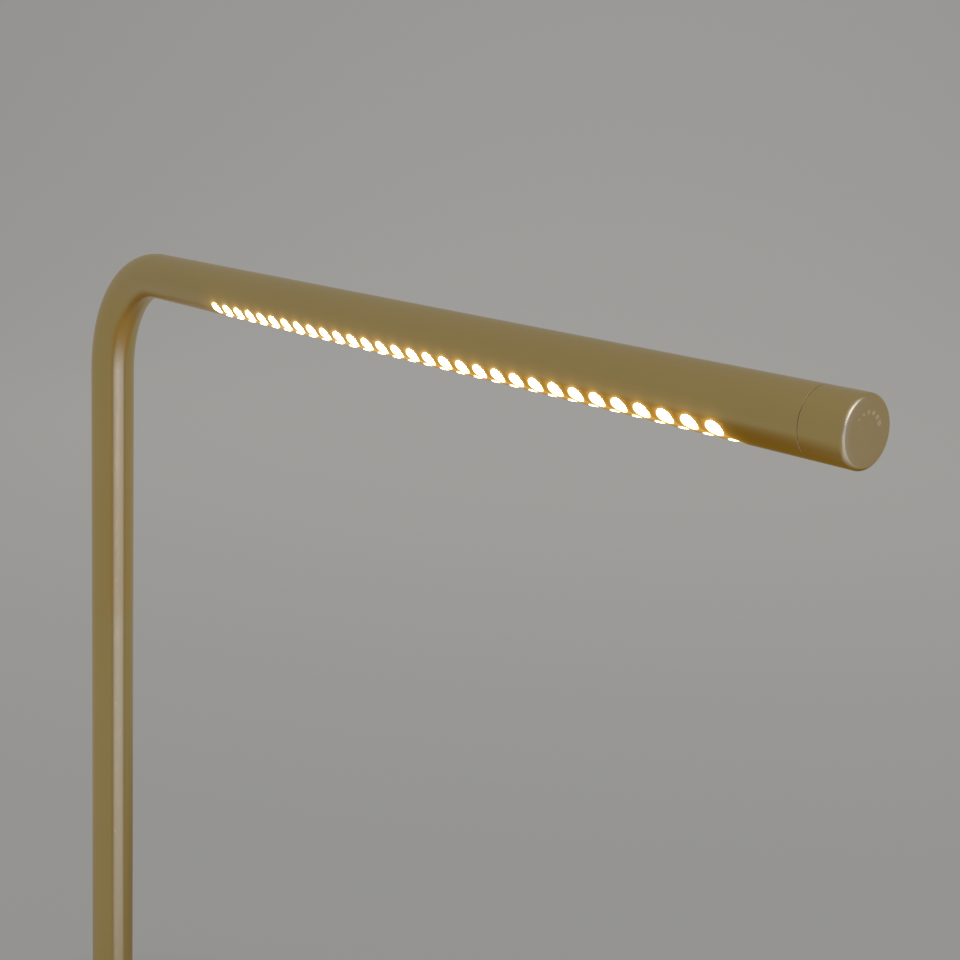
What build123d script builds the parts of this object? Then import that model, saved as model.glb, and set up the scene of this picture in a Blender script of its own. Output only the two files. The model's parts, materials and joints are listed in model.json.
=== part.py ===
from build123d import *
import os
from math import cos, radians, sin

os.makedirs("parts", exist_ok=True)

# Piano lamp: one bent tube that swings on a weighted round base, with its light inside the level arm.
# Millimetres. The origin is the middle of the underside, on the axis of the post.
# +X runs along the arm and +Z is up.

# Lamp tube
tube_diameter = 22
tube_wall = 1.5
bend_radius = 55  # centre line
arm_height = 489  # axis of the arm above the table
arm_reach = 475  # axis of the post to the face of the knob
tube_edge_break = 0.1

# Light holes
hole_diameter = 6.2
hole_pitch = 10
first_hole_from_bend = 73
last_hole_from_end = 26
light_angle = 33  # middle of the two rows, from straight down towards -Y
row_half_angle = 17.5

# Base
base_diameter = 170
base_height = 22
cover_wall = 3
cover_edge_radius = 4
cover_lift = 1.2  # rim of the cover above the table
pad_thickness = 1.5
plate_thickness = 1.5
base_fit_gap = 0.5  # pad, plate and weight inside the skirt of the cover
screw_circle_radius = 62
screw_count = 3
first_screw_angle = 30
screw_diameter = 4
screw_head_diameter = 8
screw_length = 14
screw_key = 2.5
screw_key_depth = 1.4
boss_diameter = 10
boss_length = 8
boss_gap = 0.3

# Clearances
slip_gap = 0.1  # pieces fixed in each other
running_gap = 0.05  # a journal in its bearing
free_gap = 0.3  # turning faces that don't bear

# Swivel
journal_diameter = 14
bush_wall = 3
flange_overhang = 3
flange_thickness = 1.5
wire_bore_diameter = 8
tail_diameter = 12
tail_flats = 10
tail_reveal = 0.4  # threaded tail below the nut
nut_thickness = 3.5
nut_flats = 18
spring_thickness = 0.5
spring_height = 0.8
spring_diameter = 21
stop_thickness = 1
stop_ring_diameter = 22
stop_tab_radius = 17
stop_tab_width = 6.4
stop_pin_diameter = 3
stop_pin_radius = 15.5
stop_pin_depth = 4  # pressed into the weight
friction_thickness = 0.8
friction_diameter = 24
thrust_thickness = 1
shoulder_thickness = 2
plug_in_tube = 25
plug_lead_in = 0.5
spigot_pin_diameter = 3
spigot_pin_rise = 3.5  # above the foot of the tube
collar_height = 9
collar_wall = 4.2
collar_edge_break = 0.8
register_wall = 1.85
register_gap = 0.2

# Supply inlet and driver
inlet_thread_diameter = 8
inlet_flange_diameter = 11
inlet_flange_thickness = 1.2
inlet_length = 18
inlet_recess = 1.3
socket_diameter = 5.5
socket_depth = 9.5
socket_pin_diameter = 2.1
socket_pin_set_back = 1
inlet_nut_flats = 11
inlet_nut_thickness = 2.5
inlet_pocket_width = 16
inlet_lead_run = 7.7  # from the socket to the board
board_length = 40
board_width = 32
board_thickness = 1.6
board_rise = 5  # board above the base plate
board_pocket_gap = 2
board_headroom = 4.4
standoff_diameter = 5
standoff_inset = 3
board_screw_diameter = 2.5
board_screw_head_diameter = 4.5
board_screw_head_height = 1.5
board_screw_length = 4.6
coil_diameter = 9
coil_height = 3.8
capacitor_diameter = 6
capacitor_height = 4
chip_side = 5
chip_height = 1.2

# Leads
base_lead_diameter = 2.4
base_lead_bend = 3.5
base_lead_under_board = 10.5
lead_way_width = 5  # groove under the weight
inlet_lead_diameter = 2
inlet_lead_under_board = 6
arm_lead_diameter = 3.2
arm_lead_offset = 5.8  # from the axis of the arm, behind the board
arm_lead_easing = 90  # radius
arm_lead_straight = 17  # between the bend and the way down to the channel
led_lead_diameter = 1.6
led_lead_bend = 4.5
led_lead_step = 6  # down to the board, before the bar
led_lead_run = 6  # beside the arm lead, where it joins it
led_lead_over_board = 8
lead_gap = 0.1
lead_joint_gap = 0.4

# Light source
bar_gap = 0.3
bar_wall = 1.3
bar_seat = -1  # seat of the board, along the light from the axis of the arm
bar_lip = 3.5  # top of the side walls
bar_before_holes = 10
channel_width = 4
channel_gap = 0.4
clip_width = 6
clip_thickness = 0.55
clip_groove = 0.4
clip_from_end = 25
led_board_width = 12
led_board_inset = 2
led_length = 3.5
led_width = 2.8
led_height = 0.7
led_screw_diameter = 2
led_screw_head_diameter = 3.8
led_screw_head_height = 1.2
led_screw_grip = 2.4
diffuser_thickness = 0.9

# Dimmer and knob
knob_length = 15
knob_gap = 0.25  # seam between knob and tube
knob_edge_radius = 1.3
knob_edge_break = 0.1
knob_recess_diameter = 17.2
knob_recess_depth = 4.8
knob_bore_depth = 6.7
plug_length = 13.6
plug_front_wall = 3
plug_wall = 1.6
plug_screw_diameter = 3
plug_screw_from_end = 9
plug_screw_key = 1.5
dimmer_diameter = 14
dimmer_length = 9
bushing_diameter = 7
bushing_length = 7
dimmer_nut_flats = 10
dimmer_nut_thickness = 2
shaft_diameter = 6
shaft_length = 21.5
shaft_flat = 2  # from the axis
clip_plate_thickness = 0.35
clip_plate_width = 3.6
mark_radius = 5.6
mark_count = 7
mark_spread = 22.5  # degrees from dimple to dimple
mark_smallest = 0.3
mark_step = 0.1
mark_depth = 0.2

# Worked out: radii
tube_radius = tube_diameter / 2
tube_bore = tube_radius - tube_wall
base_radius = base_diameter / 2
skirt_bore = base_radius - cover_wall
inside_base = skirt_bore - base_fit_gap
journal_radius = journal_diameter / 2
bush_bore = journal_radius + running_gap
bush_radius = bush_bore + bush_wall
flange_radius = bush_radius + flange_overhang
tail_radius = tail_diameter / 2
tail_hole = tail_radius + slip_gap
register_bore = bush_radius + slip_gap
register_radius = register_bore + register_wall
collar_bore = tube_radius + free_gap
well_radius = stop_tab_radius + board_pocket_gap  # room for the stop washer under the weight
bar_radius = tube_bore - bar_gap
plug_radius = tube_bore - slip_gap
plug_cavity = plug_radius - plug_wall
past_tube = 2 * tube_diameter  # length of cuts that run right through the arm

# Worked out: heights in the base, from the table up
pad_top = pad_thickness
plate_top = pad_top + plate_thickness
lead_height = plate_top + lead_gap + base_lead_diameter / 2
spigot_bottom = lead_height + base_lead_diameter / 2 + lead_gap
nut_bottom = spigot_bottom + tail_reveal
spring_bottom = nut_bottom + nut_thickness
stop_bottom = spring_bottom + spring_height
friction_bottom = stop_bottom + stop_thickness
flange_bottom = friction_bottom + friction_thickness
flange_seat = flange_bottom + flange_thickness
cover_ceiling = base_height - cover_wall
thrust_top = base_height + thrust_thickness
tube_bottom = thrust_top + shoulder_thickness
inlet_height = (plate_top + base_height) / 2
flange_back = base_radius - inlet_recess
inlet_front = flange_back + inlet_flange_thickness
inlet_tail = flange_back - inlet_length
board_edge = inlet_tail - inlet_lead_run
board_from_axis = board_edge - board_width
board_bottom = plate_top + board_rise
board_top = board_bottom + board_thickness
boss_bottom = cover_ceiling - boss_length

# Worked out: places along the arm
bend_end = bend_radius
knob_back = arm_reach - knob_length
tube_end = knob_back - knob_gap
first_hole = bend_end + first_hole_from_bend
hole_count = int((tube_end - last_hole_from_end - hole_pitch / 2 - first_hole) / hole_pitch) + 1
bar_start = first_hole - bar_before_holes
bar_end = tube_end - plug_length
bar_length = bar_end - bar_start
board_start = bar_start + led_board_inset
board_end = bar_end - led_board_inset
first_led = first_hole + hole_pitch / 4
plug_wall_back = tube_end - plug_front_wall
dimmer_back = plug_wall_back - dimmer_length
shaft_start = dimmer_back + free_gap + plug_wall
bushing_end = plug_wall_back + bushing_length
recess_floor = knob_back + knob_recess_depth
bore_floor = recess_floor + knob_bore_depth
shaft_end = min(shaft_start + shaft_length, bore_floor - free_gap)


def across_arm(x):
    """Plane square to the arm at x. Its own Y points the way the light goes."""
    aim = radians(light_angle)
    return Plane(origin=(x, 0, arm_height), x_dir=(0, -cos(aim), sin(aim)), z_dir=(1, 0, 0))


def upright_across_arm(x):
    """Plane square to the arm at x. Its own Y points up."""
    return Plane(origin=(x, 0, arm_height), x_dir=(0, 1, 0), z_dir=(1, 0, 0))


def in_arm(x, along_light):
    """Point inside the arm, that far from its axis along the light."""
    return across_arm(x).from_local_coords((0, along_light))


def behind_socket(y):
    """Plane square to the supply socket, y out from the axis of the post. It faces outwards."""
    return Plane(origin=(0, y, inlet_height), x_dir=(-1, 0, 0), z_dir=(0, 1, 0))


underside = Plane(origin=(0, 0, pad_top), x_dir=(1, 0, 0), z_dir=(0, 0, -1))
standoff_side = board_length / 2 - standoff_inset
standoff_places = [
    (side * standoff_side, board_from_axis + row)
    for side in (-1, 1)
    for row in (standoff_inset, board_width - standoff_inset)
]


# ---- base ----

with BuildPart() as base_pad:
    with BuildSketch():
        Circle(inside_base)
    extrude(amount=pad_thickness)
base_pad.part.label = "base_pad"
export_step(base_pad.part, "parts/base_pad.step")

with BuildPart() as base_plate:
    with BuildSketch(Plane.XY.offset(pad_top)):
        Circle(inside_base)
    extrude(amount=plate_thickness)
    with Locations(underside):
        with PolarLocations(screw_circle_radius, screw_count, start_angle=-first_screw_angle):
            CounterSinkHole(
                radius=screw_diameter / 2 + slip_gap,
                counter_sink_radius=screw_head_diameter / 2 + slip_gap,
                counter_sink_angle=90,
            )
base_plate.part.label = "base_plate"
export_step(base_plate.part, "parts/base_plate.step")

with BuildPart() as base_weight:
    with BuildSketch(Plane.XY.offset(plate_top)):
        Circle(inside_base)
    extrude(amount=cover_ceiling - plate_top)
    # swivel: a well below for nut and washers, and the seat of the bush above it
    with BuildSketch(Plane.XY.offset(plate_top)):
        Circle(well_radius)
    extrude(amount=flange_seat - plate_top, mode=Mode.SUBTRACT)
    with BuildSketch(Plane.XY.offset(flange_seat)):
        Circle(bush_radius + slip_gap)
    extrude(amount=cover_ceiling - flange_seat, mode=Mode.SUBTRACT)
    with BuildSketch(Plane.XY.offset(flange_seat)):
        with Locations((-stop_pin_radius, 0)):
            Circle(stop_pin_diameter / 2)
    extrude(amount=stop_pin_depth, mode=Mode.SUBTRACT)
    # screws, and the bosses of the cover that they pull on
    with BuildSketch(Plane.XY.offset(plate_top)):
        with PolarLocations(screw_circle_radius, screw_count, start_angle=first_screw_angle):
            Circle(screw_head_diameter / 2 + slip_gap)
    extrude(amount=boss_bottom - plate_top, mode=Mode.SUBTRACT)
    with BuildSketch(Plane.XY.offset(boss_bottom - boss_gap)):
        with PolarLocations(screw_circle_radius, screw_count, start_angle=first_screw_angle):
            Circle(boss_diameter / 2 + boss_gap)
    extrude(amount=boss_length + boss_gap, mode=Mode.SUBTRACT)
    # pocket of the driver board, with its four standoffs
    pocket_middle = board_from_axis + board_width / 2
    pocket_length = board_length + 2 * board_pocket_gap
    pocket_width = board_width + 2 * board_pocket_gap
    with BuildSketch(Plane.XY.offset(plate_top)):
        with Locations((0, pocket_middle)):
            Rectangle(pocket_length, pocket_width)
    extrude(amount=board_top - plate_top, mode=Mode.SUBTRACT)
    with BuildSketch(Plane.XY.offset(board_top)):
        with Locations((0, pocket_middle)):
            Rectangle(pocket_length, pocket_width)
        with Locations(*standoff_places):
            Circle(standoff_diameter / 2, mode=Mode.SUBTRACT)
    extrude(amount=board_headroom, mode=Mode.SUBTRACT)
    with BuildSketch(Plane.XY.offset(board_top)):
        with Locations(*standoff_places):
            Circle(board_screw_diameter / 2)
    extrude(amount=board_screw_length - board_thickness, mode=Mode.SUBTRACT)
    # ways for the inlet and the lead
    with BuildSketch(Plane.XY.offset(plate_top)):
        with Locations((0, pocket_middle + pocket_width / 2)):
            Rectangle(inlet_pocket_width, base_radius, align=(Align.CENTER, Align.MIN))
    extrude(amount=cover_ceiling - plate_top, mode=Mode.SUBTRACT)
    with BuildSketch(Plane.XY.offset(plate_top)):
        with Locations((0, pocket_middle)):
            Rectangle(lead_way_width, pocket_middle, align=(Align.CENTER, Align.MAX))
    extrude(amount=board_rise, mode=Mode.SUBTRACT)
base_weight.part.label = "base_weight"
export_step(base_weight.part, "parts/base_weight.step")

with BuildPart() as base_cover:
    with BuildSketch(Plane.XY.offset(cover_lift)):
        Circle(base_radius)
    extrude(amount=base_height - cover_lift)
    fillet(base_cover.edges().group_by(Axis.Z)[-1], radius=cover_edge_radius)
    with BuildSketch(Plane.XY.offset(cover_lift)):
        Circle(skirt_bore)
    extrude(amount=cover_ceiling - cover_lift, mode=Mode.SUBTRACT)
    with BuildSketch(Plane.XY.offset(cover_ceiling)):
        Circle(register_radius + slip_gap)
    extrude(amount=cover_wall, mode=Mode.SUBTRACT)
    with BuildSketch(Plane.XY.offset(boss_bottom)):
        with PolarLocations(screw_circle_radius, screw_count, start_angle=first_screw_angle):
            Circle(boss_diameter / 2)
            Circle(screw_diameter / 2 + running_gap, mode=Mode.SUBTRACT)
    extrude(amount=boss_length)
    # recess and hole of the supply socket
    with BuildSketch(behind_socket(flange_back)):
        Circle(inlet_flange_diameter / 2 + free_gap)
    extrude(amount=inlet_recess, mode=Mode.SUBTRACT)
    with BuildSketch(behind_socket(skirt_bore - cover_wall)):
        Circle(inlet_thread_diameter / 2 + slip_gap)
    extrude(amount=2 * cover_wall, mode=Mode.SUBTRACT)
base_cover.part.label = "base_cover"
export_step(base_cover.part, "parts/base_cover.step")

with BuildPart() as base_screws:
    with BuildSketch(Plane.XY.offset(pad_top)):
        with PolarLocations(screw_circle_radius, screw_count, start_angle=first_screw_angle):
            Circle(screw_diameter / 2)
    extrude(amount=screw_length)
    with PolarLocations(screw_circle_radius, screw_count, start_angle=first_screw_angle):
        with Locations((0, 0, pad_top)):
            Cone(
                screw_head_diameter / 2,
                screw_diameter / 2,
                (screw_head_diameter - screw_diameter) / 2,
                align=(Align.CENTER, Align.CENTER, Align.MIN),
            )
    with BuildSketch(Plane.XY.offset(pad_top)):
        with PolarLocations(screw_circle_radius, screw_count, start_angle=first_screw_angle):
            RegularPolygon(screw_key / 2, 6, major_radius=False)
    extrude(amount=screw_key_depth, mode=Mode.SUBTRACT)
base_screws.part.label = "base_screws"
export_step(base_screws.part, "parts/base_screws.step")

with BuildPart() as post_collar:
    with BuildSketch(Plane.XY.offset(base_height)):
        Circle(collar_bore + collar_wall)
    extrude(amount=collar_height)
    chamfer(post_collar.edges().group_by(Axis.Z)[-1], length=collar_edge_break)
    with BuildSketch(Plane.XY.offset(base_height)):
        Circle(collar_bore)
    extrude(amount=collar_height, mode=Mode.SUBTRACT)
    with BuildSketch(Plane.XY.offset(cover_ceiling + register_gap)):
        Circle(register_radius)
        Circle(register_bore, mode=Mode.SUBTRACT)
    extrude(amount=cover_wall - register_gap)
post_collar.part.label = "post_collar"
export_step(post_collar.part, "parts/post_collar.step")


# ---- swivel ----

with BuildPart() as swivel_bush:
    with BuildSketch(Plane.XY.offset(flange_bottom)):
        Circle(flange_radius)
    extrude(amount=flange_thickness)
    with BuildSketch(Plane.XY.offset(flange_seat)):
        Circle(bush_radius)
    extrude(amount=base_height - flange_seat)
    with BuildSketch(Plane.XY.offset(flange_bottom)):
        Circle(bush_bore)
    extrude(amount=base_height - flange_bottom, mode=Mode.SUBTRACT)
swivel_bush.part.label = "swivel_bush"
export_step(swivel_bush.part, "parts/swivel_bush.step")

with BuildPart() as thrust_washer:
    with BuildSketch(Plane.XY.offset(base_height)):
        Circle(tube_radius - slip_gap)
        Circle(journal_radius + free_gap, mode=Mode.SUBTRACT)
    extrude(amount=thrust_thickness)
thrust_washer.part.label = "thrust_washer"
export_step(thrust_washer.part, "parts/thrust_washer.step")

with BuildPart() as stop_pin:
    pin_foot = nut_bottom + free_gap
    with BuildSketch(Plane.XY.offset(pin_foot)):
        with Locations((-stop_pin_radius, 0)):
            Circle(stop_pin_diameter / 2)
    extrude(amount=flange_seat + stop_pin_depth - pin_foot)
stop_pin.part.label = "stop_pin"
export_step(stop_pin.part, "parts/stop_pin.step")

with BuildPart() as post_spigot:
    with BuildSketch(Plane.XY.offset(spigot_bottom)):
        Circle(tail_radius)
        Rectangle(2 * tail_diameter, tail_flats, mode=Mode.INTERSECT)
    extrude(amount=friction_bottom - spigot_bottom)
    with BuildSketch(Plane.XY.offset(friction_bottom)):
        Circle(tail_radius)
    extrude(amount=flange_bottom + register_gap - friction_bottom)
    with BuildSketch(Plane.XY.offset(flange_bottom + register_gap)):
        Circle(journal_radius)
    extrude(amount=thrust_top - flange_bottom - register_gap)
    with BuildSketch(Plane.XY.offset(thrust_top)):
        Circle(tube_radius - slip_gap)
    extrude(amount=shoulder_thickness)
    with BuildSketch(Plane.XY.offset(tube_bottom)):
        Circle(plug_radius)
    extrude(amount=plug_in_tube)
    chamfer(post_spigot.edges().group_by(Axis.Z)[-1], length=plug_lead_in)
    with BuildSketch(Plane.XY.offset(spigot_bottom)):
        Circle(wire_bore_diameter / 2)
    extrude(amount=tube_bottom + plug_in_tube - spigot_bottom, mode=Mode.SUBTRACT)
    with BuildSketch(Plane.YZ):
        with Locations((0, tube_bottom + spigot_pin_rise)):
            Circle(spigot_pin_diameter / 2)
    extrude(amount=tube_radius, both=True, mode=Mode.SUBTRACT)
post_spigot.part.label = "post_spigot"
export_step(post_spigot.part, "parts/post_spigot.step")

with BuildPart() as spigot_pins:
    for side in (-1, 1):
        with BuildSketch(Plane.YZ.offset(side * (wire_bore_diameter / 2 + free_gap))):
            with Locations((0, tube_bottom + spigot_pin_rise)):
                Circle(spigot_pin_diameter / 2)
        extrude(amount=side * (tube_radius - wire_bore_diameter / 2 - 2 * free_gap))
spigot_pins.part.label = "spigot_pins"
export_step(spigot_pins.part, "parts/spigot_pins.step")

with BuildPart() as friction_washer:
    with BuildSketch(Plane.XY.offset(friction_bottom)):
        Circle(friction_diameter / 2)
        Circle(tail_hole, mode=Mode.SUBTRACT)
    extrude(amount=friction_thickness)
friction_washer.part.label = "friction_washer"
export_step(friction_washer.part, "parts/friction_washer.step")

with BuildPart() as stop_washer:
    with BuildSketch(Plane.XY.offset(stop_bottom)):
        Circle(stop_ring_diameter / 2)
        Rectangle(stop_tab_radius, stop_tab_width, align=(Align.MIN, Align.CENTER))
    extrude(amount=stop_thickness)
    with BuildSketch(Plane.XY.offset(stop_bottom)):
        Circle(tail_hole)
        Rectangle(2 * tail_diameter, tail_flats + 2 * slip_gap, mode=Mode.INTERSECT)
    extrude(amount=stop_thickness, mode=Mode.SUBTRACT)
stop_washer.part.label = "stop_washer"
export_step(stop_washer.part, "parts/stop_washer.step")

with BuildPart() as spring_washer:
    with BuildSketch(Plane.XZ):
        with BuildLine():
            Polyline(
                (tail_hole, stop_bottom - spring_thickness),
                (tail_hole, stop_bottom),
                (spring_diameter / 2, spring_bottom + spring_thickness),
                (spring_diameter / 2, spring_bottom),
                close=True,
            )
        make_face()
    revolve(axis=Axis.Z)
spring_washer.part.label = "spring_washer"
export_step(spring_washer.part, "parts/spring_washer.step")

with BuildPart() as lock_nut:
    with BuildSketch(Plane.XY.offset(nut_bottom)):
        RegularPolygon(nut_flats / 2, 6, major_radius=False)
        Circle(tail_radius + running_gap, mode=Mode.SUBTRACT)
    extrude(amount=nut_thickness)
lock_nut.part.label = "lock_nut"
export_step(lock_nut.part, "parts/lock_nut.step")


# ---- supply inlet and driver ----

with BuildPart() as dc_inlet:
    with BuildSketch(behind_socket(flange_back)):
        Circle(inlet_flange_diameter / 2)
    extrude(amount=inlet_flange_thickness)
    with BuildSketch(behind_socket(flange_back)):
        Circle(inlet_thread_diameter / 2)
    extrude(amount=-inlet_length)
    with BuildSketch(behind_socket(inlet_front)):
        Circle(socket_diameter / 2)
    extrude(amount=-socket_depth, mode=Mode.SUBTRACT)
    with BuildSketch(behind_socket(inlet_front - socket_depth)):
        Circle(socket_pin_diameter / 2)
    extrude(amount=socket_depth - socket_pin_set_back)
dc_inlet.part.label = "dc_inlet"
export_step(dc_inlet.part, "parts/dc_inlet.step")

with BuildPart() as inlet_nut:
    with BuildSketch(behind_socket(skirt_bore - free_gap - slip_gap)):
        RegularPolygon(inlet_nut_flats / 2, 6, major_radius=False)
        Circle(inlet_thread_diameter / 2 + running_gap, mode=Mode.SUBTRACT)
    extrude(amount=-inlet_nut_thickness)
inlet_nut.part.label = "inlet_nut"
export_step(inlet_nut.part, "parts/inlet_nut.step")

with BuildPart() as driver_board:
    with BuildSketch(Plane.XY.offset(board_bottom)):
        with Locations((0, board_from_axis)):
            Rectangle(board_length, board_width, align=(Align.CENTER, Align.MIN))
        with Locations(*standoff_places):
            Circle(board_screw_diameter / 2 + slip_gap, mode=Mode.SUBTRACT)
    extrude(amount=board_thickness)
driver_board.part.label = "driver_board"
export_step(driver_board.part, "parts/driver_board.step")

with BuildPart() as driver_parts:
    with BuildSketch(Plane.XY.offset(board_top)):
        with Locations((-board_length / 4, pocket_middle)):
            Circle(coil_diameter / 2)
    extrude(amount=coil_height)
    with BuildSketch(Plane.XY.offset(board_top)):
        with Locations((board_length / 4, pocket_middle)):
            Circle(capacitor_diameter / 2)
    extrude(amount=capacitor_height)
    with BuildSketch(Plane.XY.offset(board_top)):
        with Locations((0, pocket_middle - board_width / 4)):
            Rectangle(chip_side, chip_side)
    extrude(amount=chip_height)
driver_parts.part.label = "driver_parts"
export_step(driver_parts.part, "parts/driver_parts.step")

with BuildPart() as driver_screws:
    with BuildSketch(Plane.XY.offset(board_bottom - board_screw_head_height)):
        with Locations(*standoff_places):
            Circle(board_screw_head_diameter / 2)
    extrude(amount=board_screw_head_height)
    with BuildSketch(Plane.XY.offset(board_bottom)):
        with Locations(*standoff_places):
            Circle(board_screw_diameter / 2)
    extrude(amount=board_screw_length)
driver_screws.part.label = "driver_screws"
export_step(driver_screws.part, "parts/driver_screws.step")

with BuildPart() as inlet_lead:
    pad_height = board_bottom - lead_gap - inlet_lead_diameter / 2
    with BuildLine() as inlet_route:
        FilletPolyline(
            (0, inlet_tail - lead_gap, inlet_height),
            (0, board_edge + 2 * inlet_lead_diameter, inlet_height),
            (0, board_edge + inlet_lead_diameter / 2, pad_height),
            (0, board_edge - inlet_lead_under_board, pad_height),
            radius=inlet_lead_diameter,
        )
    with BuildSketch(behind_socket(inlet_tail - lead_gap)):
        Circle(inlet_lead_diameter / 2)
    sweep()
inlet_lead.part.label = "inlet_lead"
export_step(inlet_lead.part, "parts/inlet_lead.step")

with BuildPart() as base_lead:
    lead_end = spigot_bottom + base_lead_bend - lead_gap
    lead_top = board_bottom - lead_gap
    lead_start = Vector(0, board_from_axis + base_lead_under_board, lead_top - base_lead_diameter / 2)
    with BuildLine() as base_route:
        FilletPolyline(
            lead_start,
            (0, board_from_axis, lead_height),
            (0, 0, lead_height),
            (0, 0, lead_end),
            radius=[board_from_axis, base_lead_bend],
        )
    with BuildSketch(Plane(origin=lead_start, z_dir=base_route.line % 0)):
        Circle(base_lead_diameter / 2)
    sweep()
base_lead.part.label = "base_lead"
export_step(base_lead.part, "parts/base_lead.step")


# ---- lamp tube ----

with BuildPart() as lamp_tube:
    with BuildLine():
        FilletPolyline(
            (0, 0, tube_bottom),
            (0, 0, arm_height),
            (tube_end, 0, arm_height),
            radius=bend_radius,
        )
    with BuildSketch(Plane.XY.offset(tube_bottom)):
        Circle(tube_radius)
        Circle(tube_bore, mode=Mode.SUBTRACT)
    sweep()
    end_edges = lamp_tube.edges().filter_by(GeomType.CIRCLE).group_by(Axis.X)[-1]
    chamfer(end_edges.sort_by(SortBy.RADIUS)[-1], length=tube_edge_break)
    # two staggered rows of light holes
    for row, angle in enumerate((light_angle + row_half_angle, light_angle - row_half_angle)):
        way_out = (0, -sin(radians(angle)), -cos(radians(angle)))
        row_start = (first_hole + row * hole_pitch / 2, 0, arm_height)
        with BuildSketch(Plane(origin=row_start, x_dir=(1, 0, 0), z_dir=way_out)):
            with Locations(*[(k * hole_pitch, 0) for k in range(hole_count)]):
                Circle(hole_diameter / 2)
        extrude(amount=tube_diameter, mode=Mode.SUBTRACT)
    # cross hole of the two pins in the foot, and the hole of the plug screw at the back
    with BuildSketch(Plane.YZ):
        with Locations((0, tube_bottom + spigot_pin_rise)):
            Circle(spigot_pin_diameter / 2)
    extrude(amount=tube_radius, both=True, mode=Mode.SUBTRACT)
    screw_place = (tube_end - plug_screw_from_end, 0, arm_height)
    screw_plane = Plane(origin=screw_place, x_dir=(-1, 0, 0), z_dir=(0, 1, 0))
    with BuildSketch(screw_plane):
        Circle(plug_screw_diameter / 2 + running_gap)
    extrude(amount=tube_diameter, mode=Mode.SUBTRACT)
lamp_tube.part.label = "lamp_tube"
export_step(lamp_tube.part, "parts/lamp_tube.step")


# ---- light source ----

clip_starts = (bar_start + clip_from_end, bar_end - clip_from_end - clip_width)
led_places = [first_led - board_start + k * hole_pitch for k in range(hole_count)]
screw_places = [led_places[k] + hole_pitch / 2 for k in (1, hole_count // 2, hole_count - 3)]

with BuildPart() as led_bar:
    with BuildSketch(across_arm(bar_start)):
        Circle(bar_radius)
        with Locations((0, bar_lip)):
            Rectangle(past_tube, past_tube, align=(Align.CENTER, Align.MIN), mode=Mode.SUBTRACT)
    extrude(amount=bar_length)
    with BuildSketch(across_arm(bar_start)):
        Circle(bar_radius - bar_wall)
        with Locations((0, bar_seat)):
            Rectangle(past_tube, past_tube, align=(Align.CENTER, Align.MAX), mode=Mode.SUBTRACT)
    extrude(amount=bar_length, mode=Mode.SUBTRACT)
    with BuildSketch(across_arm(bar_start)):
        channel_floor = -(arm_lead_offset - arm_lead_diameter / 2 - channel_gap)
        with Locations((0, channel_floor)):
            Rectangle(channel_width, past_tube, align=(Align.CENTER, Align.MAX))
    extrude(amount=bar_length, mode=Mode.SUBTRACT)
    for clip_start in clip_starts:
        with BuildSketch(across_arm(clip_start - slip_gap)):
            Circle(tube_radius)
            Circle(bar_radius - clip_groove, mode=Mode.SUBTRACT)
            with Locations((0, bar_seat)):
                Rectangle(past_tube, past_tube, align=(Align.CENTER, Align.MIN), mode=Mode.SUBTRACT)
        extrude(amount=clip_width + 2 * slip_gap, mode=Mode.SUBTRACT)
    against_light = -across_arm(board_start).y_dir
    board_seat_plane = Plane(origin=in_arm(board_start, bar_seat), x_dir=(1, 0, 0), z_dir=against_light)
    with BuildSketch(board_seat_plane):
        with Locations(*[(x, 0) for x in screw_places]):
            Circle(led_screw_diameter / 2)
    extrude(amount=led_screw_grip, mode=Mode.SUBTRACT)
led_bar.part.label = "led_bar"
export_step(led_bar.part, "parts/led_bar.step")

with BuildPart() as bar_clips:
    for clip_start in clip_starts:
        with BuildSketch(across_arm(clip_start)):
            Circle(tube_bore - slip_gap)
            Circle(tube_bore - slip_gap - clip_thickness, mode=Mode.SUBTRACT)
            with Locations((0, bar_seat - slip_gap)):
                Rectangle(past_tube, past_tube, align=(Align.CENTER, Align.MIN), mode=Mode.SUBTRACT)
        extrude(amount=clip_width)
bar_clips.part.label = "bar_clips"
export_step(bar_clips.part, "parts/bar_clips.step")

with BuildPart() as led_board:
    with BuildSketch(board_seat_plane):
        Rectangle(board_end - board_start, led_board_width, align=(Align.MIN, Align.CENTER))
        with Locations(*[(x, 0) for x in screw_places]):
            Circle(led_screw_diameter / 2 + slip_gap, mode=Mode.SUBTRACT)
    extrude(amount=-board_thickness)
led_board.part.label = "led_board"
export_step(led_board.part, "parts/led_board.step")

with BuildPart() as led_chips:
    with BuildSketch(board_seat_plane.offset(-board_thickness)):
        with Locations(*[(x, 0) for x in led_places]):
            Rectangle(led_length, led_width)
    extrude(amount=-led_height)
led_chips.part.label = "led_chips"
export_step(led_chips.part, "parts/led_chips.step")

with BuildPart() as board_screws:
    with BuildSketch(board_seat_plane.offset(-board_thickness)):
        with Locations(*[(x, 0) for x in screw_places]):
            Circle(led_screw_head_diameter / 2)
    extrude(amount=-led_screw_head_height)
    with BuildSketch(board_seat_plane.offset(-board_thickness)):
        with Locations(*[(x, 0) for x in screw_places]):
            Circle(led_screw_diameter / 2)
    extrude(amount=board_thickness + led_screw_grip)
board_screws.part.label = "board_screws"
export_step(board_screws.part, "parts/board_screws.step")

with BuildPart() as diffuser:
    with BuildSketch(across_arm(board_start)):
        Circle(bar_radius)
        Circle(bar_radius - diffuser_thickness, mode=Mode.SUBTRACT)
        with Locations((0, bar_lip + slip_gap)):
            Rectangle(past_tube, past_tube, align=(Align.CENTER, Align.MAX), mode=Mode.SUBTRACT)
    extrude(amount=board_end - board_start)
diffuser.part.label = "diffuser"
export_step(diffuser.part, "parts/diffuser.step")


# ---- leads in the tube ----

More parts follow.
